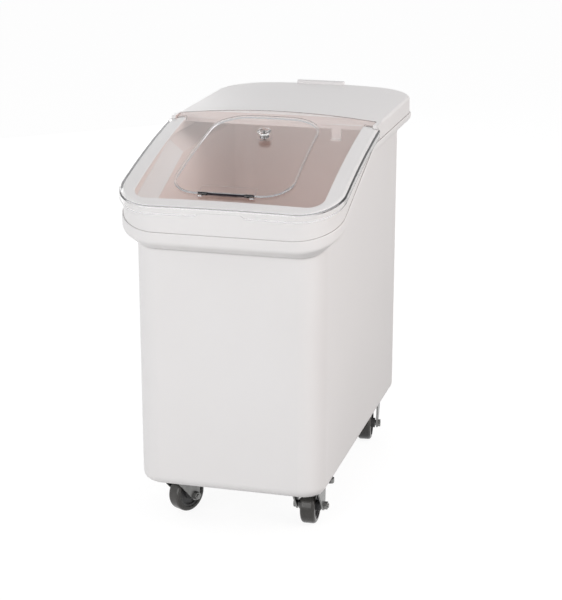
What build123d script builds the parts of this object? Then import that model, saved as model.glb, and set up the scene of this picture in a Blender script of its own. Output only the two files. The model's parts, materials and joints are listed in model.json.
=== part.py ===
from build123d import *
import math
import os

# Rolling ingredient bin. Millimetres, +Z up, front towards -Y, origin on the ground under the middle.

# Tub
tub_w = 346
tub_d = 662
tub_corner_r = 44
tub_draft = 1
tub_wall = 4
tub_foot_r = 18
tub_front_h = 482
tub_rear_h = 592
kink_y = -50
corner_gain = 1.35
rim_out = 28.5
rim_h = 10
shoulder_h = 26
rim_drop = 10
rim_edge_r = 8
rim_top_r = 2
shoulder_drop = 7
upstand_h = 9
upstand_t = 3
upstand_gap = 1.5
flare_lift = 1.5
rim_lift = 0.5
rim_root = 1.6
pad_h = 14
pad_margin = 6
pad_roof = 3

# Hood
hood_wall = 3.5
hood_in = 1.5
hood_draft = 0.7
hood_seat = 0.3
hood_rear_h = 29.5
roof_crown = 13
roof_back_crown = 8
roof_back_rise = 2
roof_edge_r = 6
rail_edge_r = 4
rail_w = 29.5
band_w = 25
mouth_corner_r = 30
mouth_edge_r = 2
apron_y = 18.5
apron_h = 18.5
cheek_nose_r = 11
cheek_drop = 12
cheek_gap = 0.8
cove_gap = 0.7
grip_w = 98
grip_d = 14
grip_h = 6
grip_root = 12
grip_corner_r = 3
grip_inset = 1
hook_side = 58.5
hook_w = 18
hook_drop = 22
hook_reach = 8

# Clear lid
lid_t = 3.2
lid_gap = 0.4
lid_skirt = 14
lid_out = 31.5
lid_corner_r = 78
lid_edge_r = 4.5
lid_front_rise = 46
lid_bow = 10.2
lid_front_crown = 3
seam_y = 11
hinge_back = 24
hinge_drop = 6
hinge_pin_r = 2
hinge_lug_r = 4.5
hinge_lug_l = 18
lug_end_t = 4
tail_gap = 0.7
pin_end_gap = 0.2
notch_w = 95
notch_top_w = 73
notch_h = 5.5

# Hatch flap
hatch_w = 222
hatch_rear_w = 202
hatch_rear_margin = 36
hatch_front_margin = 41.5
hatch_corner_r = 52
hatch_rear_r = 62
hatch_t = 3
hatch_gap = 0.3
hatch_lap = 4
hatch_pin_out = 4
hatch_pin_r = 1.9
knuckle_r = 3.2
knuckle_gap = 0.6
knuckle_root = 2
knuckle_web = 1.5
leaf_w = 100
leaf_d = 20
leaf_t = 1
lid_knuckle_w = 7
hatch_knuckle_w = 9
knob_x = 12
knob_back = 97
knob_r = 13
knob_h = 15
knob_pad_r = 14
knob_pad_h = 0.8
knob_pad_root = 2
knob_screw_r = 2
knob_screw_l = 12
knob_screw_play = 0.2
knob_head_r = 3.6
knob_head_h = 2.2
knob_head_gap = 0.1

# Casters
caster_h = 87
caster_side = 45
caster_end = 76
wheel_d = 70
tyre_w = 28
tyre_t = 9
trail = 32
plate_w = 56
plate_l = 70
plate_t = 2.5
plate_corner_r = 6
plate_hole_play = 0.4
plate_hole_x = 40
plate_hole_y = 54
plate_screw_r = 3
screw_head_r = 5.2
screw_head_h = 3
screw_tip_gap = 1
ball_d = 6
ball_count = 14
ball_pitch_r = 17
ball_play = 0.3
race_r = 24
race_t = 2.5
race_h = 5
kingpin_r = 5
kingpin_head_r = 9
kingpin_head_h = 4
kingpin_top_gap = 0.2
fork_t = 3
fork_gap = 46
fork_front = 18
fork_back = 34
fork_corner_r = 6
leg_end_r = 9.5
axle_r = 4
hex_af = 13
bolt_head_h = 5.3
nut_h = 6.5
bolt_end = 2
sleeve_r = 6
sleeve_gap = 0.2
hub_boss_r = 10
hub_boss_l = 40
hub_inset = 2
hub_recess = 6
hub_rim_t = 4
hub_boss_root = 1
tyre_edge_r = 6.3
pedal_pin_y = 39
pedal_pin_drop = 12.5
pedal_pin_r = 1.8
pedal_barrel_r = 3.6
pedal_ear_r = 5
pedal_w = 40
foot_w = 74
foot_d = 15
foot_h = 8
foot_corner_r = 5
foot_wall = 2.5
foot_root = 2
pedal_t = 3
foot_y = 58
foot_drop = 15
run = 0.05

# How far a joined solid or a cut runs past the face it meets, and how far a drawn surface runs on
bite = 1
spare = 60
lid_over = 25
roof_over = 20
arch_over = 12

# Heights and offsets that follow from the sizes above
floor_z = caster_h
joint_z = floor_z + tub_rear_h
joint_front_z = floor_z + tub_front_h
front_y = -(tub_d / 2 + rim_out)
lid_front_y = -(tub_d / 2 + lid_out)
tilt = math.atan2(joint_z - joint_front_z, kink_y - front_y)
roof_z = joint_z + hood_rear_h
lid_front_z = joint_front_z + lid_front_rise
lid_half = tub_w / 2 + lid_out
hood_off = rim_out - hood_in
hinge_y = seam_y - hinge_back
hinge_z = roof_z - hinge_drop
cheek_y = hinge_y - cheek_nose_r
apron_bottom = roof_z - apron_h
mouth_w = tub_w + 2 * (hood_off - rail_w)
mouth_front = tub_d / 2 + hood_off - band_w
hatch_rear_y = seam_y - hatch_rear_margin
hatch_front_y = lid_front_y + hatch_front_margin
hatch_pin_y = hatch_front_y - hatch_pin_out
knob_y = hatch_rear_y - knob_back
caster_x = tub_w / 2 - caster_side
caster_y = tub_d / 2 - caster_end
lean = math.tan(math.radians(hood_draft))
upstand_off = hood_off - (joint_z + upstand_h - joint_front_z) * lean - hood_wall - upstand_gap
hinge_half = tub_w / 2 + hood_off - (hinge_z - joint_front_z) * lean
upstand_in = upstand_off - upstand_t
tail_w = tub_w + 2 * (upstand_in - tail_gap)
far = 3 * tub_d
near = 0.01


def corner(off):
    """Plan corner radius of an outline that stands off from the tub wall."""
    return tub_corner_r + off * (corner_gain if off > 0 else 1)


def outline(z, off):
    """Rounded outline of the tub's plan at height z, grown by off."""
    return Pos(0, 0, z) * RectangleRounded(tub_w + 2 * off, tub_d + 2 * off, corner(off))


def block(x0, x1, y0, y1, z0, z1):
    """Box between two corners."""
    size = Box(x1 - x0, y1 - y0, z1 - z0)
    return Pos((x0 + x1) / 2, (y0 + y1) / 2, (z0 + z1) / 2) * size


def bar(radius, x0, x1, y, z):
    """Round bar along X."""
    return Pos((x0 + x1) / 2, y, z) * Rot(0, 90, 0) * Cylinder(radius, x1 - x0)


def along_x(points, half):
    """Polygon given as (y, z) points, run along X to both sides."""
    face = Plane.YZ * Polygon(*points, align=None)
    return extrude(face, amount=half, both=True)


def below(h):
    """Everything under the mouth's joint line moved up by h."""
    s, c = math.sin(tilt), math.cos(tilt)
    z_start = joint_z + (h + (-far - kink_y) * s) / c
    bend = h * math.tan(tilt / 2)
    points = [
        (-far, z_start),
        (kink_y - bend, joint_z + h),
        (far, joint_z + h),
        (far, -far),
        (-far, -far),
    ]
    return along_x(points, far)


def half_outline(w, v, r):
    """Face from the bend line to the rim's end at v, with its two end corners rounded."""
    turn = math.copysign(r, v)
    nick = r * (1 - math.sqrt(0.5))
    cut = math.copysign(nick, v)
    sides = [
        Line((-w, 0), (-w, v - turn)),
        ThreePointArc((-w, v - turn), (-w + nick, v - cut), (-w + r, v)),
        Line((-w + r, v), (w - r, v)),
        ThreePointArc((w - r, v), (w - nick, v - cut), (w, v - turn)),
        Line((w, v - turn), (w, 0)),
        Line((w, 0), (-w, 0)),
    ]
    return make_face(sides)


def ring(steps):
    """Solid that follows the mouth: slanted in front, level behind, mitred at the bend.

    Each step is (outset from the wall, height above the joint, extra drop at the front).
    """
    fronts = []
    rears = []
    for off, h, drop in steps:
        y = kink_y - h * math.tan(tilt / 2)
        z = joint_z + h
        lean_front = math.atan(math.tan(tilt) + drop / (kink_y - front_y))
        slant = Plane(
            origin=(0, y, z),
            x_dir=(1, 0, 0),
            z_dir=(0, -math.sin(lean_front), math.cos(lean_front)),
        )
        w = tub_w / 2 + off
        front_end = (-(tub_d / 2 + off) - y) / math.cos(lean_front)
        fronts.append(slant * half_outline(w, front_end, corner(off)))
        rears.append(Pos(0, y, z) * half_outline(w, tub_d / 2 + off - y, corner(off)))
    return loft(fronts, ruled=True) + loft(rears, ruled=True)


def level_edges(solid, h, drop):
    """Edges of a ring solid on the level h above the joint, without the line across its bend."""
    y_bend = kink_y - h * math.tan(tilt / 2)
    slope = math.tan(tilt) + drop / (kink_y - front_y)
    found = []
    for edge in solid.edges():
        points = [edge @ 0, edge @ 0.5, edge @ 1]
        heights = [joint_z + h + min(0, p.Y - y_bend) * slope for p in points]
        level = all(abs(p.Z - z) < near for p, z in zip(points, heights))
        across = all(abs(p.Y - y_bend) < near for p in points)
        if level and not across:
            found.append(edge)
    return found


def lid_level(y):
    """Height of the lid's side edge and its crown at depth y."""
    t = (seam_y - y) / (seam_y - lid_front_y)
    z = roof_z + (lid_front_z - roof_z) * t + 4 * lid_bow * t * (1 - t)
    return z, roof_crown + (lid_front_crown - roof_crown) * t


def lid_top(x, y):
    """Height of the lid's upper face."""
    z, crown = lid_level(y)
    return z + crown * (1 - (x / lid_half) ** 2)


def arch(y, z, crown):
    """Upright face across the bin whose top is a crowned arc."""
    half = lid_half + arch_over
    side = z + crown * (1 - (half / lid_half) ** 2)
    low = joint_front_z - far
    top = ThreePointArc((-half, 0, side), (0, 0, z + crown), (half, 0, side))
    rest = Polyline((half, 0, side), (half, 0, low), (-half, 0, low), (-half, 0, side))
    return Pos(0, y, 0) * make_face([top, rest])


def under_lid(drop):
    """Everything under the lid's upper face moved down by drop."""
    sections = []
    for k in range(6):
        y = seam_y + lid_over + (lid_front_y - seam_y - 2 * lid_over) * k / 5
        z, crown = lid_level(y)
        sections.append(arch(y, z - drop, crown))
    return loft(sections)


def under_roof(drop, y_from):
    """Everything under the hood's roof moved down by drop, behind y_from."""
    span = tub_d / 2 + rim_out + roof_over
    start = arch(y_from, roof_z - drop, roof_crown)
    seam = arch(seam_y, roof_z - drop, roof_crown)
    back = arch(span, roof_z + roof_back_rise - drop, roof_back_crown)
    rear = loft([seam, back], ruled=True)
    if y_from < seam_y:
        return loft([start, seam], ruled=True) + rear
    return rear & block(-far, far, y_from, far, -far, far)


# Tub: drawn body, flared shoulder and upright rim, all one wall thick
body_top = tub_wall - (rim_h + shoulder_h)
body = loft([outline(floor_z, -tub_draft), outline(joint_z, 0)], ruled=True)
body = fillet(body.faces().sort_by(Axis.Z)[0].edges(), tub_foot_r)
hollow_z = floor_z + tub_wall
hollow = loft([outline(hollow_z, -tub_draft - tub_wall), outline(joint_z, -tub_wall)], ruled=True)
hollow = fillet(hollow.faces().sort_by(Axis.Z)[0].edges(), tub_foot_r - tub_wall)
rim_low = -(rim_h + shoulder_h)
rim_in = rim_out - tub_wall
shell = ring([(rim_root, rim_low, shoulder_drop), (rim_out, -rim_h, rim_drop), (rim_out, 0, 0)])
shell = fillet(level_edges(shell, -rim_h, rim_drop), rim_edge_r)
shell = fillet(level_edges(shell, 0, 0), rim_top_r)
shell += ring([(upstand_off, -bite, 0), (upstand_off, upstand_h, 0)])
inside = ring([
    (-tub_wall, rim_low + flare_lift, shoulder_drop),
    (rim_in, rim_lift - rim_h, rim_drop),
    (rim_in, -tub_wall, 0),
])
inside += ring([(upstand_in, -tub_wall - bite, 0), (upstand_in, upstand_h + bite, 0)])
tub = (body & below(body_top)) + shell
tub -= (hollow & below(body_top)) + inside
upright = (Align.CENTER, Align.CENTER, Align.MIN)
caster_spots = [
    ("front_left", -caster_x, -caster_y, 62, True),
    ("front_right", caster_x, -caster_y, 92, True),
    ("rear_left", -caster_x, caster_y, -84, False),
    ("rear_right", caster_x, caster_y, -84, False),
]
for name, x, y, heading, braked in caster_spots:
    pad = Box(plate_w + 2 * pad_margin, plate_l + 2 * pad_margin, pad_h)
    pad = fillet(pad.edges().filter_by(Axis.Z), pad_margin)
    tub += Pos(x, y, floor_z + pad_h / 2) * pad
    for spot in GridLocations(plate_hole_x, plate_hole_y, 2, 2):
        hole = Cylinder(plate_screw_r, pad_h - pad_roof, align=upright)
        tub -= Pos(x, y, floor_z) * spot * hole


# Hood: roof behind, rails and front band in front, open mouth, apron and hinge cheeks
def hood_outline(z, inset):
    return outline(z, hood_off - (z - joint_front_z) * lean - inset)


def hood_prism(inset):
    low = joint_front_z - spare
    high = roof_z + spare
    return loft([hood_outline(low, inset), hood_outline(high, inset)], ruled=True)


roof_front = seam_y + bite
rail_drop = lid_t + lid_gap
cheek_x = tail_w / 2 + cheek_gap


def top_rounded(solid, y_from, y_to, radius):
    """Solid with the rim of its top face rounded between two depths."""
    top = solid.faces().sort_by(Axis.Z)[-1]
    edges = [e for e in top.edges() if y_from < e.center().Y < y_to]
    return fillet(edges, radius)


def on_mouth(edge):
    """Whether an edge of the rails is part of the upper rim of the mouth."""
    for p in (edge @ 0, edge @ 0.5, edge @ 1):
        if abs(p.X) > mouth_w / 2 + near or p.Y < -mouth_front - near:
            return False
        if abs(p.Z - lid_top(p.X, p.Y) + rail_drop) > bite:
            return False
    return abs((edge @ 0.5).Y - roof_front) > near


roof = top_rounded(hood_prism(0) & under_roof(0, roof_front), roof_front + near, far, roof_edge_r)
rails = hood_prism(0) & under_lid(rail_drop) & block(-far, far, -far, roof_front, -far, far)
rails = top_rounded(rails, -far, roof_front - near, rail_edge_r)
mouth = RectangleRounded(mouth_w, apron_y + mouth_front, mouth_corner_r)
rails -= extrude(Pos(0, (apron_y - mouth_front) / 2, joint_front_z - spare) * mouth, amount=far)
rails = fillet([e for e in rails.edges() if on_mouth(e)], mouth_edge_r)
hood = roof + rails
room = hood_prism(hood_wall)
front_room = under_lid(rail_drop + hood_wall) & block(-far, far, -far, seam_y, -far, far)
front_room += block(-far, far, seam_y - bite, apron_y, joint_front_z - spare, hinge_z - hinge_lug_r)
rear_room = room & under_roof(hood_wall, apron_y + hood_wall)
rear_room = top_rounded(rear_room, apron_y + hood_wall + near, far, roof_edge_r - hood_wall)
low_room = block(-far, far, seam_y - bite, far, joint_front_z - spare, apron_bottom)
hood -= room & (front_room + rear_room + low_room)
cheeks = under_roof(0, cheek_y) & block(-far, far, cheek_y, apron_y + hood_wall, hinge_z - cheek_drop, far)
cheeks &= bar(cheek_nose_r, -far, far, hinge_y, hinge_z) + block(-far, far, hinge_y, far, -far, far)
hood += cheeks & (hood_prism(0) - block(-cheek_x, cheek_x, -far, far, -far, far))
cove_mid = math.hypot(seam_y - hinge_y, lid_top(0, seam_y) - hinge_z) + cove_gap
cove_end = math.hypot(seam_y - hinge_y, lid_top(cheek_x, seam_y) - hinge_z) + cove_gap
cove_arc = ThreePointArc((-cheek_x, cove_end), (0, cove_mid), (cheek_x, cove_end))
cove_rest = Polyline((cheek_x, cove_end), (cheek_x, 0), (-cheek_x, 0), (-cheek_x, cove_end))
cove = revolve(make_face([cove_arc, cove_rest]), Axis.X)
cove_front = hinge_y - hinge_lug_r - cove_gap
hood -= Pos(0, hinge_y, hinge_z) * cove & block(-far, far, cove_front, far, -far, far)
hood -= below(hood_seat)
grip_y = tub_d / 2 + hood_off - (roof_z - joint_front_z) * lean - grip_d / 2 - grip_inset
grip = Box(grip_w, grip_d, grip_h + grip_root)
grip = fillet(grip.edges().filter_by(Axis.Z), grip_corner_r)
grip_top = roof_z + roof_back_rise + roof_back_crown + grip_h
hood += Pos(0, grip_y, grip_top - (grip_h + grip_root) / 2) * grip
hook_right = mouth_w / 2 - hook_side + hook_w / 2
hook_left = hook_right - hook_w
hook_low = apron_bottom - hook_drop
hook_rear = apron_y + hood_wall
hood += block(hook_left, hook_right, apron_y, hook_rear, hook_low, apron_bottom + bite)
hood += block(hook_left, hook_right, apron_y - hook_reach, hook_rear, hook_low, hook_low + hood_wall)
hood -= bar(hinge_pin_r, -far, far, hinge_y, hinge_z)

# Clear lid: bowed plate with a turned-down skirt, hinge lugs behind, hatch opening and knuckles
lid_len = seam_y - lid_front_y


def lid_plan(inset):
    wide = 2 * (lid_half - inset)
    long = lid_len - inset + lid_corner_r
    plan = RectangleRounded(wide, long, lid_corner_r - inset)
    prism = extrude(Pos(0, lid_front_y + inset + long / 2, joint_front_z - spare) * plan, amount=far)
    return prism & block(-far, far, -far, seam_y, -far, far)


def hatch_prism(inset):
    """Upright prism of the hatch's plan, which narrows towards the rear."""
    half = hatch_w / 2 - inset
    half_rear = hatch_rear_w / 2 - inset
    y0 = hatch_front_y + inset
    y1 = hatch_rear_y - inset
    plan = Polygon((-half, y0), (half, y0), (half_rear, y1), (-half_rear, y1), align=None)
    prism = extrude(Pos(0, 0, joint_front_z) * plan, amount=far)
    prism = fillet(prism.edges().filter_by(Axis.Z).sort_by(Axis.Y)[:2], hatch_corner_r - inset)
    return fillet(prism.edges().filter_by(Axis.Z).sort_by(Axis.Y)[-2:], hatch_rear_r - inset)


lid = top_rounded(lid_plan(0) & under_lid(0), -far, seam_y - near, lid_edge_r)
lid -= under_lid(lid_skirt)
lid -= lid_plan(lid_t) & under_lid(lid_t)
tail = block(-far, far, cheek_y - cheek_gap, far, -far, far)
tail -= block(-tail_w / 2, tail_w / 2, -far, far, -far, far)
lid -= tail
notch_z = lid_top(0, lid_front_y) - lid_skirt
notch_points = [
    (-notch_w / 2, notch_z - lid_t),
    (notch_w / 2, notch_z - lid_t),
    (notch_top_w / 2, notch_z + notch_h),
    (-notch_top_w / 2, notch_z + notch_h),
]
notch = extrude(Plane.XZ * Polygon(*notch_points, align=None), amount=2 * lid_t, both=True)
lid -= Pos(0, lid_front_y, 0) * notch
lid -= hatch_prism(hatch_lap)
for side in (-1, 1):
    ends = sorted((side * tail_w / 2, side * (tail_w / 2 - hinge_lug_l)))
    lid += bar(hinge_lug_r, ends[0], ends[1], hinge_y, hinge_z)
    web = block(ends[0], ends[1], hinge_y - hinge_lug_r, hinge_y + hinge_lug_r, hinge_z, far)
    lid += web & under_lid(lid_t / 2)
    pin_in = tail_w / 2 - hinge_lug_l + lug_end_t
    pin_out = hinge_half - pin_end_gap
    ends = sorted((side * pin_in, side * pin_out))
    lid -= bar(hinge_pin_r + run, ends[0] - bite, ends[1] + bite, hinge_y, hinge_z)
hatch_pin_z = lid_top(0, hatch_pin_y) + hatch_gap + knuckle_r
lid_knuckle_x = leaf_w / 2 - lid_knuckle_w
for side in (-1, 1):
    x0, x1 = sorted((side * lid_knuckle_x, side * leaf_w / 2))
    foot_z = lid_top(leaf_w / 2, hatch_pin_y - knuckle_r) - lid_t / 2
    lid += block(x0, x1, hatch_pin_y - knuckle_r, hatch_pin_y + knuckle_r, foot_z, hatch_pin_z)
    lid += bar(knuckle_r, x0, x1, hatch_pin_y, hatch_pin_z)
lid -= bar(hatch_pin_r, -leaf_w / 2 - bite, leaf_w / 2 + bite, hatch_pin_y, hatch_pin_z)

# Hatch flap: lies on the lid over the opening and turns on the pin at its front edge
flap_top = hatch_gap + hatch_t
hatch = hatch_prism(0) & under_lid(-flap_top)
leaf = block(-leaf_w / 2, leaf_w / 2, hatch_front_y, hatch_front_y + leaf_d, joint_front_z, far)
hatch += leaf & under_lid(-flap_top - leaf_t)
root_y = hatch_front_y + knuckle_root
root_z = lid_top(0, root_y) + hatch_gap
knuckle_x = lid_knuckle_x - knuckle_gap
for side in (-1, 1):
    x0, x1 = sorted((side * (knuckle_x - hatch_knuckle_w), side * knuckle_x))
    hatch += block(x0, x1, hatch_pin_y, root_y, root_z, hatch_pin_z + knuckle_web)
    hatch += bar(knuckle_r, x0, x1, hatch_pin_y, hatch_pin_z)
hatch -= under_lid(-hatch_gap)
hatch -= bar(hatch_pin_r + run, -knuckle_x - bite, knuckle_x + bite, hatch_pin_y, hatch_pin_z)
slope = math.atan2(lid_top(knob_x, knob_y + 1) - lid_top(knob_x, knob_y - 1), 2)
knob_at = Pos(knob_x, knob_y, lid_top(knob_x, knob_y) + flap_top) * Rot(math.degrees(slope), 0, 0)
knob_pad = Cylinder(knob_pad_r, knob_pad_root + knob_pad_h, align=upright)
hatch += knob_at * Pos(0, 0, -knob_pad_root) * knob_pad
hatch -= knob_at * Cylinder(knob_screw_r + knob_screw_play, 4 * hatch_t)
knob_points = [
    (0, 0),
    (0.7 * knob_r, 0),
    (0.55 * knob_r, 0.3 * knob_h),
    (0.58 * knob_r, 0.42 * knob_h),
    (0.93 * knob_r, 0.6 * knob_h),
    (knob_r, 0.76 * knob_h),
    (0.9 * knob_r, 0.93 * knob_h),
    (0.5 * knob_r, knob_h),
    (0, knob_h),
]
knob = revolve(Plane.XZ * make_face(Polyline(*knob_points, close=True)), Axis.Z)
screw_low = -hatch_t - knob_pad_h - knob_head_gap
knob -= Pos(0, 0, screw_low) * Cylinder(knob_screw_r, knob_screw_l, align=upright)
knob_screw = Pos(0, 0, screw_low) * Cylinder(knob_screw_r, knob_screw_l, align=upright)
knob_screw += Pos(0, 0, screw_low - knob_head_h) * Cylinder(knob_head_r, knob_head_h, align=upright)
knob_seat = knob_at * Pos(0, 0, knob_pad_h)

nodes = {
    "tub": tub,
    "hood": hood,
    "clear_lid": lid,
    "hatch_flap": hatch,
    "hatch_hinge_pin": bar(hatch_pin_r, -leaf_w / 2, leaf_w / 2, hatch_pin_y, hatch_pin_z),
    "hatch_knob": knob_seat * knob,
    "knob_screw": knob_seat * knob_screw,
    "lid_pin_left": bar(hinge_pin_r, -pin_out, -pin_in, hinge_y, hinge_z),
    "lid_pin_right": bar(hinge_pin_r, pin_in, pin_out, hinge_y, hinge_z),
}

# Casters, each drawn about its own kingpin with the trail towards +Y and z = 0 at the tub floor
fork_z = -plate_t - ball_d - 2 * ball_play
fork_low = fork_z - fork_t
axle_z = wheel_d / 2 - caster_h
half_gap = fork_gap / 2
half_fork = half_gap + fork_t
pedal_pin_z = -pedal_pin_drop


def caster_plate():
    base = extrude(RectangleRounded(plate_w, plate_l, plate_corner_r), amount=-plate_t)
    race = Cylinder(race_r, race_h, align=upright) - Cylinder(race_r - race_t, race_h, align=upright)
    base += Pos(0, 0, -plate_t - race_h) * race
    base -= Cylinder(kingpin_r, 4 * plate_t)
    for spot in GridLocations(plate_hole_x, plate_hole_y, 2, 2):
        base -= spot * Cylinder(plate_screw_r + plate_hole_play, 4 * plate_t)
    return base


def caster_balls():
    ball = Sphere(ball_d / 2)
    spots = PolarLocations(ball_pitch_r, ball_count)
    return Compound([Pos(0, 0, -plate_t - ball_play - ball_d / 2) * spot * ball for spot in spots])


def caster_kingpin():
    length = -fork_low + ball_play
    pin = Pos(0, 0, -length) * Cylinder(kingpin_r, length - kingpin_top_gap, align=upright)
    head = Cylinder(kingpin_head_r, kingpin_head_h, align=upright)
    return pin + Pos(0, 0, -length - kingpin_head_h) * head


def caster_leg(braked):
    edges = [
        Line((-fork_front, fork_z), (fork_back, fork_z)),
        Pos(trail, axle_z) * CenterArc((0, 0), leg_end_r, 0, 360),
    ]
    if braked:
        edges.append(Pos(pedal_pin_y, pedal_pin_z) * CenterArc((0, 0), pedal_ear_r, 0, 360))
    return make_hull(edges)


def caster_fork(braked):
    top_long = fork_front + fork_back
    top = RectangleRounded(2 * half_fork, top_long, fork_corner_r)
    fork = extrude(Pos(0, (fork_back - fork_front) / 2, fork_low) * top, amount=fork_t)
    leg = caster_leg(braked)
    for x in (-half_fork, half_gap):
        fork += extrude(Plane.YZ.offset(x) * leg, amount=fork_t)
    fork -= Pos(0, 0, fork_z) * Cylinder(kingpin_r + run, 4 * fork_t)
    fork -= bar(axle_r, -far, far, trail, axle_z)
    if braked:
        fork -= bar(pedal_pin_r, -far, far, pedal_pin_y, pedal_pin_z)
    return fork


def hexagon(x0, x1):
    face = RegularPolygon(hex_af / 2, 6, major_radius=False)
    prism = extrude(Plane.YZ.offset(x0) * face, amount=x1 - x0)
    return Pos(0, trail, axle_z) * prism


def caster_bolt():
    bolt = bar(axle_r, -half_fork, half_fork + nut_h + bolt_end, trail, axle_z)
    return bolt + hexagon(-half_fork - bolt_head_h, -half_fork)


def caster_nut():
    return hexagon(half_fork, half_fork + nut_h) - bar(axle_r, -far, far, trail, axle_z)


def caster_sleeve():
    tube = bar(sleeve_r, sleeve_gap - half_gap, half_gap - sleeve_gap, trail, axle_z)
    return tube - bar(axle_r + run, -far, far, trail, axle_z)


def caster_hub():
    rim_r = wheel_d / 2 - tyre_t
    half = tyre_w / 2
    hub = bar(rim_r, hub_inset - half, half - hub_inset, 0, 0)
    for x0, x1 in ((-half, hub_recess - half), (half - hub_recess, half)):
        hub -= bar(rim_r - hub_rim_t, x0, x1, 0, 0) - bar(hub_boss_r + hub_boss_root, -far, far, 0, 0)
    hub += bar(hub_boss_r, -hub_boss_l / 2, hub_boss_l / 2, 0, 0)
    hub -= bar(sleeve_r + run, -far, far, 0, 0)
    return Pos(0, trail, axle_z) * hub


def caster_tyre():
    tyre = bar(wheel_d / 2, -tyre_w / 2, tyre_w / 2, 0, 0)
    tyre = fillet(tyre.edges().filter_by(GeomType.CIRCLE), tyre_edge_r)
    tyre -= bar(wheel_d / 2 - tyre_t, -far, far, 0, 0)
    return Pos(0, trail, axle_z) * tyre


def caster_pedal():
    half = pedal_w / 2
    pedal = bar(pedal_barrel_r, -half, half, pedal_pin_y, pedal_pin_z)
    low = -foot_drop - foot_h / 2
    arm = [
        (pedal_pin_y, pedal_pin_z + pedal_barrel_r),
        (foot_y + foot_root, foot_h / 2 - foot_drop),
        (foot_y + foot_root, foot_h / 2 - foot_drop - pedal_t),
        (pedal_pin_y, pedal_pin_z + pedal_barrel_r - pedal_t),
    ]
    pedal += along_x(arm, half)
    foot = Box(foot_w, foot_d, foot_h)
    foot = fillet(foot.edges().filter_by(Axis.Z), foot_corner_r)
    foot -= Pos(0, 0, -foot_wall) * Box(foot_w - 2 * foot_wall, foot_d - 2 * foot_wall, foot_h)
    pedal += Pos(0, foot_y + foot_d / 2, low + foot_h / 2) * foot
    return pedal - bar(pedal_pin_r + run, -far, far, pedal_pin_y, pedal_pin_z)


screws = []
for name, x, y, heading, braked in caster_spots:
    fixed = Pos(x, y, floor_z)
    turned = fixed * Rot(0, 0, heading - 90)
    nodes[name + "_plate"] = fixed * caster_plate()
    nodes[name + "_kingpin"] = fixed * caster_kingpin()
    nodes[name + "_balls"] = turned * caster_balls()
    nodes[name + "_fork"] = turned * caster_fork(braked)
    nodes[name + "_axle_bolt"] = turned * caster_bolt()
    nodes[name + "_axle_nut"] = turned * caster_nut()
    nodes[name + "_axle_sleeve"] = turned * caster_sleeve()
    nodes[name + "_wheel_hub"] = turned * caster_hub()
    nodes[name + "_tyre"] = turned * caster_tyre()
    if braked:
        nodes[name + "_brake_pedal"] = turned * caster_pedal()
        pin = bar(pedal_pin_r, -half_fork, half_fork, pedal_pin_y, pedal_pin_z)
        nodes[name + "_pedal_pin"] = turned * pin
    for spot in GridLocations(plate_hole_x, plate_hole_y, 2, 2):
        length = plate_t + pad_h - pad_roof - screw_tip_gap
        shank = Pos(0, 0, -plate_t) * Cylinder(plate_screw_r, length, align=upright)
        head = Pos(0, 0, -plate_t - screw_head_h) * Cylinder(screw_head_r, screw_head_h, align=upright)
        screws.append(fixed * spot * (shank + head))
nodes["plate_screws"] = Compound(screws)

os.makedirs("parts", exist_ok=True)
for name, shape in nodes.items():
    export_step(shape, f"parts/{name}.step")
    size = shape.bounding_box().size
    print(f"{name}: {size.X:.1f} x {size.Y:.1f} x {size.Z:.1f} mm, {len(shape.solids())} solid(s)")
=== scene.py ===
import bpy
import json
import math
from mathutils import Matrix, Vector


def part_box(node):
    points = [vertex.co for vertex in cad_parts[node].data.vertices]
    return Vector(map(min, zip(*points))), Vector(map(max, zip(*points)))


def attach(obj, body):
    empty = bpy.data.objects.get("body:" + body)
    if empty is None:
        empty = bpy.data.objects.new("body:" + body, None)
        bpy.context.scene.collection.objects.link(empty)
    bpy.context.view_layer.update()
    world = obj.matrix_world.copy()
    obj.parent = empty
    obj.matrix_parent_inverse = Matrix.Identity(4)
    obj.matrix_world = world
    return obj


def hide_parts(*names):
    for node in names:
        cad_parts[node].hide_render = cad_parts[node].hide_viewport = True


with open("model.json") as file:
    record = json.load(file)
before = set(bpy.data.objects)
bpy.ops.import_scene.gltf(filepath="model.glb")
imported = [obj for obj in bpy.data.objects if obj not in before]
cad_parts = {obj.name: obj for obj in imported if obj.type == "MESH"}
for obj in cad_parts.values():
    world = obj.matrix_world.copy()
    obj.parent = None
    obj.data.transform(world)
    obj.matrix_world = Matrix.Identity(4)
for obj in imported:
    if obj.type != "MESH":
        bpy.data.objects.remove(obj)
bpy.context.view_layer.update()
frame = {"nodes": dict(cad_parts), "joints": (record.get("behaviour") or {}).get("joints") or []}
nodes = frame["nodes"]
scene = bpy.context.scene
scene.view_settings.view_transform = "Standard"


# Camera: a long lens a little above the bin and to its right.
# Its focal length in pixels belongs to a frame whose longer side is 600 pixels.
frame_long_px = 600
focal_px = 1743.8
sensor_mm = 36
camera_turn, camera_tilt = math.radians(15.2), math.radians(16.6)
camera_place = (0.8557, -3.1140, 1.3170)
camera_data = bpy.data.cameras.new("camera")
camera_data.sensor_width = sensor_mm
camera_data.lens = focal_px * sensor_mm / frame_long_px
camera = bpy.data.objects.new("camera", camera_data)
scene.collection.objects.link(camera)
camera.location = camera_place
camera.rotation_euler = (math.pi / 2 - camera_tilt, 0, camera_turn)
scene.camera = camera


# Studio: a pale floor that runs into a white surround, and large soft lamps all round the bin.
# The floor keeps the bin's shadow, and throws less light back beside the bin than in front of it.
# A weak lamp in the tub stands for the light that comes through the bin's cloudy walls.
def blank_tree(owner):
    """Clears the nodes of a material or world and gives its node list and its link call."""
    owner.use_nodes = True
    owner.node_tree.nodes.clear()
    return owner.node_tree.nodes, owner.node_tree.links.new


def feed(link, socket, value):
    """Links an input to another node's socket, or sets a plain value on it."""
    if isinstance(value, bpy.types.NodeSocket):
        link(value, socket)
    else:
        socket.default_value = value


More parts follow.
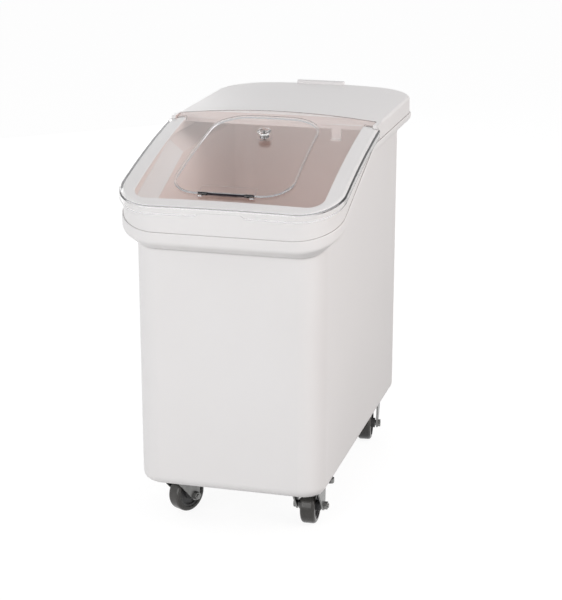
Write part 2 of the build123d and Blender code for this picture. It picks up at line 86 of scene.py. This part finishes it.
def math_node(parts, link, operation, *values):
    """Math node whose inputs are sockets or numbers."""
    made = parts.new("ShaderNodeMath")
    made.operation = operation
    for socket, value in zip(made.inputs, values):
        feed(link, socket, value)
    return made.outputs[0]


def any_ray(parts, link, *kinds):
    """1 for rays of the named kinds, and 0 for all others."""
    path = parts.new("ShaderNodeLightPath")
    found = path.outputs[f"Is {kinds[0]} Ray"]
    for kind in kinds[1:]:
        found = math_node(parts, link, "MAXIMUM", found, path.outputs[f"Is {kind} Ray"])
    return found


def spread(parts, link, value, span, to=(0.0, 1.0)):
    """Maps a value from one range to another and holds it there."""
    made = parts.new("ShaderNodeMapRange")
    link(value, made.inputs["Value"])
    for label, number in zip(("From Min", "From Max", "To Min", "To Max"), (*span, *to)):
        made.inputs[label].default_value = number
    return made.outputs["Result"]


def mixed(parts, link, mask, first, second):
    """Colour between two others, each a socket or a plain colour."""
    made = parts.new("ShaderNodeMix")
    made.data_type = "RGBA"
    link(mask, made.inputs["Factor"])
    for label, value in (("A", first), ("B", second)):
        socket = [s for s in made.inputs if s.name == label and s.type == "RGBA"][0]
        feed(link, socket, (*value, 1) if isinstance(value, tuple) else value)
    return [s for s in made.outputs if s.type == "RGBA"][0]


def shader_mix(parts, link, mask, first, second):
    """Shader between two others."""
    made = parts.new("ShaderNodeMixShader")
    for socket, value in zip(made.inputs, (mask, first.outputs[0], second.outputs[0])):
        link(value, socket)
    return made


def axes_of(parts, link, vector):
    """X, Y and Z of a vector."""
    made = parts.new("ShaderNodeSeparateXYZ")
    link(vector, made.inputs[0])
    return made.outputs


def object_place(parts):
    """Place on a piece, in the shared frame."""
    return parts.new("ShaderNodeTexCoord").outputs["Object"]


seen_rays = ("Camera", "Glossy", "Transmission")
surround_tint = (0.985, 0.985, 1.0, 1)
surround_strength = 0.48
surround_white = (1, 1, 1, 1)
world = bpy.data.worlds.new("studio")
scene.world = world
parts, link = blank_tree(world)
surround_light = parts.new("ShaderNodeBackground")
surround_light.inputs["Color"].default_value = surround_tint
surround_light.inputs["Strength"].default_value = surround_strength
surround_seen = parts.new("ShaderNodeBackground")
surround_seen.inputs["Color"].default_value = surround_white
surround_mix = shader_mix(parts, link, any_ray(parts, link, *seen_rays), surround_light, surround_seen)
link(surround_mix.outputs[0], parts.new("ShaderNodeOutputWorld").inputs["Surface"])

floor_width = 40
floor_glow = 0.9
floor_shade = (0.17, 0.17, 0.17, 1)
floor_bounce = (0.65, 0.65, 0.65)
floor_bounce_beside = (0.08, 0.08, 0.08)
beside_from_x = (0.0, 0.2)
beside_from_y = (-0.45, -0.25)
bpy.ops.object.select_all(action="DESELECT")
bpy.ops.mesh.primitive_plane_add(size=floor_width, location=(0, 0, 0))
floor = bpy.context.object
floor.name = "floor"
floor_paint = bpy.data.materials.new("floor_paint")
parts, link = blank_tree(floor_paint)
glow = parts.new("ShaderNodeEmission")
glow.inputs["Strength"].default_value = floor_glow
shade = parts.new("ShaderNodeBsdfDiffuse")
shade.inputs["Color"].default_value = floor_shade
white_floor = parts.new("ShaderNodeAddShader")
link(glow.outputs[0], white_floor.inputs[0])
link(shade.outputs[0], white_floor.inputs[1])
lit_floor = parts.new("ShaderNodeBsdfDiffuse")
floor_axes = axes_of(parts, link, object_place(parts))
to_right = spread(parts, link, floor_axes["X"], beside_from_x)
to_back = spread(parts, link, floor_axes["Y"], beside_from_y)
beside = math_node(parts, link, "MULTIPLY", to_right, to_back)
link(mixed(parts, link, beside, floor_bounce, floor_bounce_beside), lit_floor.inputs["Color"])
floor_mix = shader_mix(parts, link, any_ray(parts, link, *seen_rays), lit_floor, white_floor)
link(floor_mix.outputs[0], parts.new("ShaderNodeOutputMaterial").inputs["Surface"])
floor.data.materials.append(floor_paint)


def hung_lamp(name, kind, place, watts, tint):
    """Lamp of a kind at a place, not yet sized or turned."""
    data = bpy.data.lights.new(name, kind)
    data.energy = watts
    data.color = tint
    made = bpy.data.objects.new(name, data)
    scene.collection.objects.link(made)
    made.location = place
    return made


lamp_target = Vector((0, 0, 0.36))
soft_lamps = [
    dict(name="front_lamp", place=(-1.4, -3.2, 0.9), size=2.4, watts=51, tint=(1.0, 0.99, 0.988)),
    dict(name="side_lamp", place=(3.2, -0.6, 1.9), size=2.4, watts=59, tint=(1.0, 0.925, 0.895)),
    dict(name="top_lamp", place=(0.2, 0.8, 3.2), size=2.0, watts=1, tint=(0.85, 0.9, 1.0)),
    dict(name="back_lamp", place=(-2.2, 2.6, 0.7), size=2.4, watts=32, tint=(1.0, 0.99, 0.98)),
]
for each in soft_lamps:
    lamp = hung_lamp(each["name"], "AREA", each["place"], each["watts"], each["tint"])
    lamp.data.size = each["size"]
    lamp.rotation_euler = (lamp_target - lamp.location).to_track_quat("-Z", "Y").to_euler()

inside_radius = 0.1
inside_lamp = hung_lamp("inside_lamp", "POINT", place=(0, -0.02, 0.34), watts=0.55, tint=(1.0, 0.86, 0.82))
inside_lamp.data.shadow_soft_size = inside_radius
inside_lamp.visible_camera = False
inside_lamp.visible_glossy = False
inside_lamp.visible_transmission = False


# Tub: one moulded body of white polyethylene with a flared rim, a satin skin and slightly cloudy walls.
# Its inner faces are painted darker and warmer: painted shade, with the warm cast of light bounced inside the
# tub.
# Its crevices, such as the joint with the hood, are darkened with painted shade from an occlusion mask.
def named_group(name, inputs, outputs):
    """Empty shader node group with named sockets: its tree, its input node and its output node."""
    tree = bpy.data.node_groups.new(name, "ShaderNodeTree")
    for label, kind, value in inputs:
        tree.interface.new_socket(label, in_out="INPUT", socket_type=kind).default_value = value
    for label, kind in outputs:
        tree.interface.new_socket(label, in_out="OUTPUT", socket_type=kind)
    return tree, tree.nodes.new("NodeGroupInput"), tree.nodes.new("NodeGroupOutput")


def placed_group(parts, tree, **values):
    """Group node in a material, with its own values on the named inputs."""
    made = parts.new("ShaderNodeGroup")
    made.node_tree = tree
    for label, value in values.items():
        made.inputs[label.replace("_", " ").title()].default_value = value
    return made.outputs


def noise_node(parts, link, place, scale, detail):
    """Noise over a place, whose scale is a socket or a number."""
    made = parts.new("ShaderNodeTexNoise")
    made.inputs["Detail"].default_value = detail
    link(place, made.inputs["Vector"])
    feed(link, made.inputs["Scale"], scale)
    return made.outputs["Fac"]


def vector_node(parts, link, operation, *values):
    """Vector math node whose inputs are sockets or plain vectors."""
    made = parts.new("ShaderNodeVectorMath")
    made.operation = operation
    for socket, value in zip(made.inputs, values):
        feed(link, socket, value)
    return made.outputs


cloud_detail, grain_detail = 3, 2
moulded_skin, enter, leave = named_group(
    "moulded_skin",
    [("Cloud Scale", "NodeSocketFloat", 6.0), ("Grain Scale", "NodeSocketFloat", 900.0)],
    [("Cloud", "NodeSocketFloat"), ("Grain", "NodeSocketFloat")],
)
parts, link = moulded_skin.nodes, moulded_skin.links.new
where = object_place(parts)
link(noise_node(parts, link, where, enter.outputs["Cloud Scale"], cloud_detail), leave.inputs["Cloud"])
link(noise_node(parts, link, where, enter.outputs["Grain Scale"], grain_detail), leave.inputs["Grain"])

# Mask of the faces that turn in towards the bin's middle, below a height: where the inner painted shade goes.
turned_in_span = (0.004, -0.004)
inner_side, enter, leave = named_group(
    "inner_side",
    [("Middle", "NodeSocketVector", (0, 0, 0)), ("Below", "NodeSocketFloat", 1.0)],
    [("Inside", "NodeSocketFloat")],
)
parts, link = inner_side.nodes, inner_side.links.new
where = object_place(parts)
facing = parts.new("ShaderNodeNewGeometry").outputs["Normal"]
outward = vector_node(parts, link, "SUBTRACT", where, enter.outputs["Middle"])["Vector"]
turned_out = vector_node(parts, link, "DOT_PRODUCT", outward, facing)["Value"]
turned_in = spread(parts, link, turned_out, turned_in_span)
height = axes_of(parts, link, where)["Z"]
low_enough = math_node(parts, link, "LESS_THAN", height, enter.outputs["Below"])
link(math_node(parts, link, "MULTIPLY", turned_in, low_enough), leave.inputs["Inside"])

bevel_samples = 4
edge_span = (0.995, 0.8)
worn_edges, enter, leave = named_group(
    "worn_edges",
    [("Radius", "NodeSocketFloat", 0.001)],
    [("Edge", "NodeSocketFloat"), ("Rounded", "NodeSocketVector")],
)
parts, link = worn_edges.nodes, worn_edges.links.new
facing = parts.new("ShaderNodeNewGeometry").outputs["Normal"]
rounded = parts.new("ShaderNodeBevel")
rounded.samples = bevel_samples
link(enter.outputs["Radius"], rounded.inputs["Radius"])
agreement = vector_node(parts, link, "DOT_PRODUCT", rounded.outputs["Normal"], facing)["Value"]
link(spread(parts, link, agreement, edge_span), leave.inputs["Edge"])
link(rounded.outputs["Normal"], leave.inputs["Rounded"])

# Crevice mask from ambient occlusion: where a surface is shut in, its colour gets painted shade.
crevice_samples = 8
crevice_span = (0.9, 0.5)
painted_crevice_shade, enter, leave = named_group(
    "painted_crevice_shade",
    [("Reach", "NodeSocketFloat", 0.006)],
    [("Crevice", "NodeSocketFloat")],
)
parts, link = painted_crevice_shade.nodes, painted_crevice_shade.links.new
shut_in = parts.new("ShaderNodeAmbientOcclusion")
shut_in.samples = crevice_samples
link(enter.outputs["Reach"], shut_in.inputs["Distance"])
link(spread(parts, link, shut_in.outputs["AO"], crevice_span), leave.inputs["Crevice"])


def bumped(parts, link, height, depth, strength, rounded):
    """Normal of a surface with a small relief on its rounded edges and faces."""
    made = parts.new("ShaderNodeBump")
    made.inputs["Distance"].default_value = depth
    made.inputs["Strength"].default_value = strength
    link(height, made.inputs["Height"])
    link(rounded, made.inputs["Normal"])
    return made.outputs["Normal"]


def principled(parts, link):
    """Principled shader joined to the material's output."""
    made = parts.new("ShaderNodeBsdfPrincipled")
    link(made.outputs[0], parts.new("ShaderNodeOutputMaterial").inputs["Surface"])
    return made


def dress(finish, *names):
    """Gives a finish to CAD nodes."""
    for name in names:
        nodes[name].data.materials.clear()
        nodes[name].data.materials.append(finish)


cloud_span = (0.3, 0.7)
gloss_span = (0.25, 0.75)
white_pale, white_deep = (0.86, 0.853, 0.85), (0.845, 0.835, 0.83)
white_gloss = 0.3
white_rough = (0.38, 0.5)
white_grain_depth, white_grain_strength = 0.0002, 0.12
# Colour of the painted shade in crevices and at the joint with the hood.
seam_painted_shade = (0.3, 0.28, 0.27)
bin_middle = (0, 0, 0.5)
inside_top = 0.712


def white_polyethylene(name, inner, edge_r, crevice_shade_reach=None):
    """White moulded plastic whose inner side is painted darker and warmer as painted shade, with painted
    shade in its crevices where a reach is given.
    """
    material = bpy.data.materials.new(name)
    parts, link = blank_tree(material)
    skin = placed_group(parts, moulded_skin, cloud_scale=5.0, grain_scale=700.0)
    inside = placed_group(parts, inner_side, middle=bin_middle, below=inside_top)
    edges = placed_group(parts, worn_edges, radius=edge_r)
    outside = mixed(parts, link, spread(parts, link, skin["Cloud"], cloud_span), white_deep, white_pale)
    # Inner faces take the inner colour, which is painted shade.
    colour = mixed(parts, link, inside["Inside"], outside, inner)
    # Painted shade in the crevices, from the occlusion mask.
    if crevice_shade_reach:
        crevice = placed_group(parts, painted_crevice_shade, reach=crevice_shade_reach)
        colour = mixed(parts, link, crevice["Crevice"], colour, seam_painted_shade)
    relief = bumped(parts, link, skin["Grain"], white_grain_depth, white_grain_strength, edges["Rounded"])
    shader = principled(parts, link)
    shader.inputs["Specular IOR Level"].default_value = white_gloss
    link(colour, shader.inputs["Base Color"])
    link(spread(parts, link, skin["Cloud"], gloss_span, white_rough), shader.inputs["Roughness"])
    link(relief, shader.inputs["Normal"])
    return material


# Inner faces of the tub: painted shade, darker and warmer than the white.
tub_inside_painted_shade = (0.8, 0.7, 0.665)
tub_finish = white_polyethylene("tub_white", tub_inside_painted_shade, edge_r=0.0006, crevice_shade_reach=0.006)
dress(tub_finish, "tub")


# Caster metal: plates, forks, kingpins, balls, axles and pedals of pressed and turned steel.
# They are zinc plated, with small clouds in the plating and paler worn edges.
# The plate screws, the knob's screw and the lid's pins are of the same steel.
zinc_pale, zinc_deep = (0.26, 0.26, 0.255), (0.17, 0.17, 0.168)
zinc_worn = (0.5, 0.5, 0.49)
zinc_rough = (0.24, 0.4)
zinc_edge_r = 0.0006
zinc_grain_depth, zinc_grain_strength = 0.0001, 0.15
zinc = bpy.data.materials.new("zinc")
parts, link = blank_tree(zinc)
skin = placed_group(parts, moulded_skin, cloud_scale=90.0, grain_scale=1800.0)
edges = placed_group(parts, worn_edges, radius=zinc_edge_r)
plating = mixed(parts, link, spread(parts, link, skin["Cloud"], cloud_span), zinc_deep, zinc_pale)
relief = bumped(parts, link, skin["Grain"], zinc_grain_depth, zinc_grain_strength, edges["Rounded"])
shader = principled(parts, link)
shader.inputs["Metallic"].default_value = 1.0
link(mixed(parts, link, edges["Edge"], plating, zinc_worn), shader.inputs["Base Color"])
link(spread(parts, link, skin["Cloud"], gloss_span, zinc_rough), shader.inputs["Roughness"])
link(relief, shader.inputs["Normal"])
front_corners = ("front_left", "front_right")
corners = front_corners + ("rear_left", "rear_right")
metal_pieces = ("plate", "kingpin", "balls", "fork", "axle_bolt", "axle_nut", "axle_sleeve")
for corner in corners:
    dress(zinc, *[f"{corner}_{piece}" for piece in metal_pieces])
for corner in front_corners:
    dress(zinc, f"{corner}_brake_pedal", f"{corner}_pedal_pin")
dress(zinc, "plate_screws", "knob_screw", "lid_pin_left", "lid_pin_right")


# Wheels: each is a dark moulded hub with a grey non-marking tyre pressed on it.
# The tyre's tread is smooth, with a dull shine.
coat_edge_r = 0.0008
coat_grain_strength = 0.2


def clouded_coat(name, pale, deep, rough, grain_depth, gloss):
    """Finish of one dark colour with soft clouds in it and a fine grain."""
    material = bpy.data.materials.new(name)
    parts, link = blank_tree(material)
    skin = placed_group(parts, moulded_skin, cloud_scale=60.0, grain_scale=1400.0)
    edges = placed_group(parts, worn_edges, radius=coat_edge_r)
    relief = bumped(parts, link, skin["Grain"], grain_depth, coat_grain_strength, edges["Rounded"])
    colour = mixed(parts, link, spread(parts, link, skin["Cloud"], cloud_span), deep, pale)
    shader = principled(parts, link)
    shader.inputs["Specular IOR Level"].default_value = gloss
    link(colour, shader.inputs["Base Color"])
    link(spread(parts, link, skin["Cloud"], gloss_span, rough), shader.inputs["Roughness"])
    link(relief, shader.inputs["Normal"])
    return material


tyre_finish = clouded_coat(
    "tyre_grey", pale=(0.07, 0.067, 0.063), deep=(0.046, 0.044, 0.041),
    rough=(0.14, 0.24), grain_depth=0.0001, gloss=0.4,
)
hub_finish = clouded_coat(
    "hub_grey", pale=(0.09, 0.09, 0.092), deep=(0.07, 0.07, 0.072),
    rough=(0.4, 0.55), grain_depth=0.0002, gloss=0.5,
)
for corner in corners:
    dress(tyre_finish, f"{corner}_tyre")
    dress(hub_finish, f"{corner}_wheel_hub")


# Hood: moulded like the tub, of the same white polyethylene.
# It stands loose on the tub's rim, and the clear lid lies on its slanted mouth.
# Inner faces of the hood: painted shade, darker and warmer than the white.
hood_inside_painted_shade = (0.74, 0.63, 0.6)
hood_finish = white_polyethylene("hood_white", hood_inside_painted_shade, edge_r=0.0008)
dress(hood_finish, "hood")


# Clear lid and hatch flap: polished clear sheet with sawn edges, bent down at the lid's sides.
# The bends, and the lid's side faces seen from within, are painted near black: painted shade for the dark
# edges of bent clear sheet. Light caught in the sheet comes out grey, and light on its way to the inside
# passes it unbent. The knuckles are coloured as dark as the hinge pin.
cut_edge_r = 0.0012
cut_edge_tint = (0.5, 0.49, 0.5)
cut_edge_rough = 0.4
sheet_tint = (1, 1, 1)
sheet_ior = 1.5
sheet_rough = (0.015, 0.05)
# Near-black colour of the painted shade on the lid's bends and on its side faces seen from within.
bend_painted_shade = (0.03, 0.03, 0.033)
bend_sideways, bend_upwards = (0.35, 0.6), (0.05, 0.2)
side_depth = 0.0012
knuckle_tint = (0.02, 0.015, 0.022)
knuckle_span = (0.0035, 0.0034)
most_turns = 5
let_out_tint = (0.45, 0.45, 0.46)
unbent_tint = (0.985, 0.985, 0.985, 1)
thick_tint = (0.42, 0.4, 0.41, 1)
thick_density = 6
scene.cycles.max_bounces = 24
scene.cycles.glossy_bounces = 12
scene.cycles.transmission_bounces = 24
clear_plastic = bpy.data.materials.new("clear_plastic")
parts, link = blank_tree(clear_plastic)
skin = placed_group(parts, moulded_skin, cloud_scale=14.0, grain_scale=120.0)
edges = placed_group(parts, worn_edges, radius=cut_edge_r)
where = object_place(parts)

# Knuckle mask: the flap and lid close around the hinge pin are coloured near black, as dark as the pin.
pin_place = next(joint["pos_m"] for joint in frame["joints"] if joint["name"] == "hatch_hinge")
from_pin = vector_node(parts, link, "SUBTRACT", where, pin_place)["Vector"]
off_pin = vector_node(parts, link, "MULTIPLY", from_pin, (0, 1, 1))["Vector"]
pin_distance = vector_node(parts, link, "LENGTH", off_pin)["Value"]
on_knuckle = spread(parts, link, pin_distance, knuckle_span)

# Bend mask: faces turned sideways and upwards get the near-black painted shade.
facing = axes_of(parts, link, parts.new("ShaderNodeTexCoord").outputs["Normal"])
sideways = spread(parts, link, math_node(parts, link, "ABSOLUTE", facing["X"]), bend_sideways)
upwards = spread(parts, link, facing["Z"], bend_upwards)
on_bend = math_node(parts, link, "MULTIPLY", sideways, upwards)

lid_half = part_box("clear_lid")[1][0]
off_middle = math_node(parts, link, "ABSOLUTE", axes_of(parts, link, where)["X"])
on_side = math_node(parts, link, "GREATER_THAN", off_middle, lid_half - side_depth)
from_within = parts.new("ShaderNodeNewGeometry").outputs["Backfacing"]
side_within = math_node(parts, link, "MULTIPLY", on_side, from_within)

shader = parts.new("ShaderNodeBsdfPrincipled")
edged = mixed(parts, link, edges["Edge"], sheet_tint, cut_edge_tint)
bent = mixed(parts, link, on_bend, edged, bend_painted_shade)
link(mixed(parts, link, on_knuckle, bent, knuckle_tint), shader.inputs["Base Color"])
shader.inputs["IOR"].default_value = sheet_ior
shader.inputs["Transmission Weight"].default_value = 1.0
polished = spread(parts, link, skin["Cloud"], cloud_span, sheet_rough)
sawn = math_node(parts, link, "MULTIPLY", edges["Edge"], cut_edge_rough)
link(math_node(parts, link, "MAXIMUM", polished, sawn), shader.inputs["Roughness"])

# Side faces seen from within let light out near black: painted shade.
let_out = parts.new("ShaderNodeBsdfTransparent")
link(mixed(parts, link, side_within, let_out_tint, bend_painted_shade), let_out.inputs["Color"])
turns = parts.new("ShaderNodeLightPath").outputs["Ray Depth"]
caught = math_node(parts, link, "GREATER_THAN", turns, most_turns)
ended = math_node(parts, link, "MAXIMUM", caught, side_within)
seen_sheet = shader_mix(parts, link, ended, shader, let_out)
unbent = parts.new("ShaderNodeBsdfTransparent")
unbent.inputs["Color"].default_value = unbent_tint
sheet = shader_mix(parts, link, any_ray(parts, link, "Shadow", "Diffuse"), seen_sheet, unbent)
thickness = parts.new("ShaderNodeVolumeAbsorption")
thickness.inputs["Color"].default_value = thick_tint
thickness.inputs["Density"].default_value = thick_density
sheet_out = parts.new("ShaderNodeOutputMaterial")
link(sheet.outputs[0], sheet_out.inputs["Surface"])
link(thickness.outputs[0], sheet_out.inputs["Volume"])
dress(clear_plastic, "clear_lid", "hatch_flap")


# Hatch knob: a small clear knob with flat facets, moulded of the same plastic and held from below by a screw.
# It stands square on the flap, so it leans with the lid.
# Each ring is its share of the knob's radius and of its height, from the foot up.
knob_lean = math.radians(13.8)
knob_facets = 10
knob_rings = [(0.68, 0.0), (0.53, 0.3), (0.88, 0.58), (0.985, 0.76), (0.86, 0.93), (0.46, 0.99)]
knob_edge_r = 0.0003
knob_edge_steps = 2
knob_axis = Vector((0, -math.sin(knob_lean), math.cos(knob_lean)))
knob_across = Vector((0, math.cos(knob_lean), math.sin(knob_lean)))
knob_points = [point.co for point in nodes["hatch_knob"].data.vertices]
levels = [point.dot(knob_axis) for point in knob_points]
acrosses = [point.dot(knob_across) for point in knob_points]
sides = [point.x for point in knob_points]
knob_h = max(levels) - min(levels)
knob_r = (max(sides) - min(sides)) / 2
knob_foot = knob_axis * min(levels) + knob_across * (max(acrosses) + min(acrosses)) / 2
knob_foot.x = (max(sides) + min(sides)) / 2
bpy.ops.object.select_all(action="DESELECT")
bpy.ops.mesh.primitive_circle_add(vertices=knob_facets, radius=knob_r * knob_rings[0][0], fill_type="NGON")
knob = bpy.context.object
knob.name = "faceted_knob"
bpy.ops.object.mode_set(mode="EDIT")
bpy.ops.mesh.select_all(action="SELECT")
for (lower_share, lower), (share, level) in zip(knob_rings, knob_rings[1:]):
    bpy.ops.mesh.extrude_region_move(TRANSFORM_OT_translate={"value": (0, 0, (level - lower) * knob_h)})
    grow = share / lower_share
    bpy.ops.transform.resize(value=(grow, grow, 1), center_override=(0, 0, level * knob_h))
bpy.ops.mesh.select_all(action="SELECT")
bpy.ops.mesh.normals_make_consistent(inside=False)
bpy.ops.object.mode_set(mode="OBJECT")
knob.location = knob_foot
knob.rotation_euler = (knob_lean, 0, 0)
bpy.ops.object.transform_apply(location=True, rotation=True, scale=True)
softened = knob.modifiers.new("softened", "BEVEL")
softened.width = knob_edge_r
softened.segments = knob_edge_steps
bpy.ops.object.modifier_apply(modifier="softened")
knob.data.materials.append(clear_plastic)
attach(knob, "hatch")
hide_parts("hatch_knob")


# Hatch hinge pin: a straight steel rod, blackened and dull.
# It joins the flap's knuckles to the lid's, and is bare between them.
rod_finish = clouded_coat(
    "dark_rod", pale=(0.016, 0.011, 0.018), deep=(0.008, 0.006, 0.01),
    rough=(0.45, 0.6), grain_depth=0.0001, gloss=0.15,
)
dress(rod_finish, "hatch_hinge_pin")
